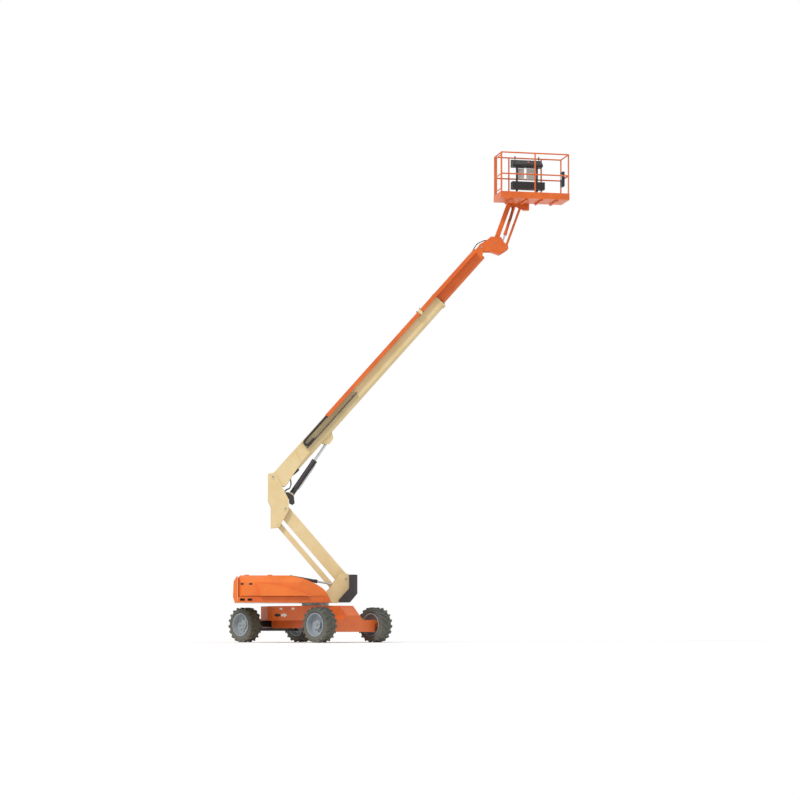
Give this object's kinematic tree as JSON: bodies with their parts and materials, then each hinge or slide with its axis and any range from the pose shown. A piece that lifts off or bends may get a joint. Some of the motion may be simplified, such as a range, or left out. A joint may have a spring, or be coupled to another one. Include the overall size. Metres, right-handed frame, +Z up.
{
  "type": "articulated boom lift",
  "caption": "Self-propelled work platform on four wheels: a turntable with hinged hoods carries a tower, a telescoping boom, a jib and a railed platform.",
  "frame": {"origin": "point on the ground under the slewing axis", "axes": "+Z up, +X along the chassis from the steered axle to the driven axle, -Y the near side; the boom points 48 degrees left of +X as in the picture"},
  "size_m": [7.1864, 7.0266, 12.618],
  "materials": {
    "orange_paint": "gloss enamel",
    "cream_paint": "gloss enamel",
    "dark_paint": "satin enamel",
    "steel": "ground and plated",
    "rim_paint": "satin enamel",
    "tyre_rubber": "moulded",
    "black_plastic": "moulded",
    "hose_rubber": "smooth"
  },
  "bodies": {
    "chassis": {"chassis_frame": "orange_paint", "steer_axle": "dark_paint", "drive_axle": "orange_paint", "steer_cylinder": "dark_paint", "slew_ring": "steel"},
    "knuckle_near": {"knuckle_near": "dark_paint"},
    "knuckle_far": {"knuckle_far": "dark_paint"},
    "steer_rod": {"steer_rod": "steel"},
    "wheel_steer_near": {"tyre_steer_near": "tyre_rubber", "rim_steer_near": "rim_paint"},
    "wheel_steer_far": {"tyre_steer_far": "tyre_rubber", "rim_steer_far": "rim_paint"},
    "wheel_drive_near": {"tyre_drive_near": "tyre_rubber", "rim_drive_near": "rim_paint"},
    "wheel_drive_far": {"tyre_drive_far": "tyre_rubber", "rim_drive_far": "rim_paint"},
    "turntable": {"turntable_frame": "orange_paint", "counterweight": "dark_paint", "tail_cover": "orange_paint", "battery_pack": "black_plastic", "power_unit": "black_plastic", "sill_near": "orange_paint", "sill_far": "orange_paint"},
    "hood_near": {"hood_near": "orange_paint"},
    "hood_far": {"hood_far": "orange_paint"},
    "tower": {"tower_boom": "cream_paint"},
    "tower_link": {"tower_link": "cream_paint"},
    "tower_barrel": {"tower_barrel": "dark_paint"},
    "tower_rod": {"tower_rod": "steel"},
    "upright": {"upright": "cream_paint", "hose_bundle": "hose_rubber"},
    "main_boom": {"main_boom": "cream_paint", "chain_bed": "dark_paint"},
    "lift_barrel": {"lift_barrel": "dark_paint"},
    "lift_rod": {"lift_rod": "steel"},
    "fly": {"fly_boom": "orange_paint", "push_tube": "orange_paint"},
    "carrier": {"chain_bend": "black_plastic"},
    "tip_bracket": {"tip_bracket": "orange_paint"},
    "jib_arm": {"jib_arm": "orange_paint"},
    "jib_link": {"jib_link": "orange_paint"},
    "jib_barrel": {"jib_barrel": "dark_paint"},
    "jib_rod": {"jib_rod": "steel"},
    "jib_head": {"jib_head": "orange_paint"},
    "platform": {"platform_floor": "orange_paint", "platform_rails": "orange_paint", "control_console": "black_plastic"},
    "gate": {"gate": "orange_paint"}
  },
  "joints": [
    {"name": "steer", "type": "hinge", "parent": "chassis", "child": "knuckle_near", "pos_m": [-1.606, -0.8, 0.457], "axis": [0, 0, 1], "range_deg": [-35, 35]},
    {"name": "steer_follow", "type": "hinge", "parent": "chassis", "child": "knuckle_far", "pos_m": [-1.606, 0.8, 0.457], "axis": [0, 0, 1], "range_deg": [-35, 35]},
    {"name": "steer_rod_slide", "type": "slide", "parent": "chassis", "child": "steer_rod", "axis": [0, 1, 0], "range_m": [-0.14661, 0.14661]},
    {"name": "spin_steer_near", "type": "hinge", "parent": "knuckle_near", "child": "wheel_steer_near", "pos_m": [-1.606, -1, 0.457], "axis": [0, 1, 0], "continuous": true},
    {"name": "spin_steer_far", "type": "hinge", "parent": "knuckle_far", "child": "wheel_steer_far", "pos_m": [-1.606, 1, 0.457], "axis": [0, 1, 0], "continuous": true},
    {"name": "spin_drive_near", "type": "hinge", "parent": "chassis", "child": "wheel_drive_near", "pos_m": [1.194, -1, 0.457], "axis": [0, 1, 0], "continuous": true},
    {"name": "spin_drive_far", "type": "hinge", "parent": "chassis", "child": "wheel_drive_far", "pos_m": [1.194, 1, 0.457], "axis": [0, 1, 0], "continuous": true},
    {"name": "swing", "type": "hinge", "parent": "chassis", "child": "turntable", "pos_m": [0, 0, 1], "axis": [0, 0, 1], "range_deg": [-180, 180]},
    {"name": "hood_near_lift", "type": "hinge", "parent": "turntable", "child": "hood_near", "pos_m": [0.2876, -0.25895, 1.74], "axis": [-0.6691, -0.7431, 0], "range_deg": [0, 75]},
    {"name": "hood_far_lift", "type": "hinge", "parent": "turntable", "child": "hood_far", "pos_m": [-0.2876, 0.25895, 1.74], "axis": [0.6691, 0.7431, 0], "range_deg": [0, 75]},
    {"name": "tower_lift", "type": "hinge", "parent": "turntable", "child": "tower", "pos_m": [0.52125, 0.57891, 1.657], "axis": [-0.7431, 0.6691, 0], "range_deg": [-49, 20]},
    {"name": "tower_link_turn", "type": "hinge", "parent": "turntable", "child": "tower_link", "pos_m": [0.38274, 0.42508, 1.285], "axis": [-0.7431, 0.6691, 0], "range_deg": [-49, 20]},
    {"name": "tower_ram_tilt", "type": "hinge", "parent": "turntable", "child": "tower_barrel", "pos_m": [-0.31231, -0.58, 1.7], "axis": [-0.7431, 0.6691, 0], "range_deg": [-2.87, 7.03]},
    {"name": "tower_ram_slide", "type": "slide", "parent": "tower_barrel", "child": "tower_rod", "axis": [0.6591, 0.732, -0.1729], "range_m": [-0.09376, 0.22956]},
    {"name": "upright_level", "type": "hinge", "parent": "tower", "child": "upright", "pos_m": [-0.52415, -0.58213, 3.46698], "axis": [-0.7431, 0.6691, 0], "range_deg": [-20, 49]},
    {"name": "main_lift", "type": "hinge", "parent": "upright", "child": "main_boom", "pos_m": [-0.73872, -0.82043, 4.286], "axis": [0.7431, -0.6691, 0], "range_deg": [-48, 20]},
    {"name": "lift_ram_tilt", "type": "hinge", "parent": "main_boom", "child": "lift_rod", "pos_m": [0.2258, 0.25078, 5.24242], "axis": [0.7431, -0.6691, 0], "range_deg": [-1.02, 0.43]},
    {"name": "lift_ram_slide", "type": "slide", "parent": "lift_rod", "child": "lift_barrel", "axis": [-0.3782, -0.4201, -0.8249], "range_m": [-0.53535, 0.22312]},
    {"name": "telescope", "type": "slide", "parent": "main_boom", "child": "fly", "axis": [0.4451, 0.4944, 0.7466], "range_m": [-1.42, 2.7]},
    {"name": "carrier_bend", "type": "slide", "parent": "fly", "child": "carrier", "axis": [0.4451, 0.4944, 0.7466], "range_m": [-1.35, 0.71]},
    {"name": "tip_level", "type": "hinge", "parent": "fly", "child": "tip_bracket", "pos_m": [2.89678, 3.2172, 10.29386], "axis": [0.7431, -0.6691, 0], "range_deg": [-20, 48]},
    {"name": "jib_lift", "type": "hinge", "parent": "tip_bracket", "child": "jib_arm", "pos_m": [3.13555, 3.48238, 10.42], "axis": [0.7431, -0.6691, 0], "range_deg": [-57, 5]},
    {"name": "jib_link_turn", "type": "hinge", "parent": "tip_bracket", "child": "jib_link", "pos_m": [3.3229, 3.69046, 10.3], "axis": [0.7431, -0.6691, 0], "range_deg": [-57, 5]},
    {"name": "jib_ram_tilt", "type": "hinge", "parent": "jib_arm", "child": "jib_barrel", "pos_m": [3.48144, 3.86653, 11.41629], "axis": [0.7431, -0.6691, 0], "range_deg": [-4.04, 0.36]},
    {"name": "jib_ram_slide", "type": "slide", "parent": "jib_barrel", "child": "jib_rod", "axis": [-0.2068, -0.2296, -0.9511], "range_m": [-0.16163, 0.01427]},
    {"name": "jib_level", "type": "hinge", "parent": "jib_arm", "child": "jib_head", "pos_m": [3.40193, 3.77823, 11.5138], "axis": [0.7431, -0.6691, 0], "range_deg": [-5, 57]},
    {"name": "platform_rotate", "type": "hinge", "parent": "jib_head", "child": "platform", "pos_m": [3.68022, 4.0873, 11.5], "axis": [0, 0, 1], "range_deg": [-8, 172]},
    {"name": "gate_swing", "type": "hinge", "parent": "platform", "child": "gate", "pos_m": [3.91568, 2.85374, 12.03], "axis": [0, 0, 1], "range_deg": [-90, 0]}
  ],
  "couplings": [
    {"joint": "steer_follow", "follows": "steer", "ratio": 1},
    {"joint": "steer_rod_slide", "follows": "steer", "m_per_rad": 0.24},
    {"joint": "tower_link_turn", "follows": "tower_lift", "ratio": 1},
    {"joint": "tower_ram_tilt", "follows": "tower_lift", "ratio": -0.14319},
    {"joint": "tower_ram_slide", "follows": "tower_lift", "m_per_rad": -0.26831},
    {"joint": "upright_level", "follows": "tower_lift", "ratio": -1},
    {"joint": "lift_ram_tilt", "follows": "main_lift", "ratio": 0.021},
    {"joint": "lift_ram_slide", "follows": "main_lift", "m_per_rad": 0.63891},
    {"joint": "tip_level", "follows": "main_lift", "ratio": -1},
    {"joint": "carrier_bend", "follows": "telescope", "ratio": -0.5},
    {"joint": "jib_link_turn", "follows": "jib_lift", "ratio": 1},
    {"joint": "jib_ram_tilt", "follows": "jib_lift", "ratio": 0.07064},
    {"joint": "jib_ram_slide", "follows": "jib_lift", "m_per_rad": 0.16237},
    {"joint": "jib_level", "follows": "jib_lift", "ratio": -1}
  ]
}
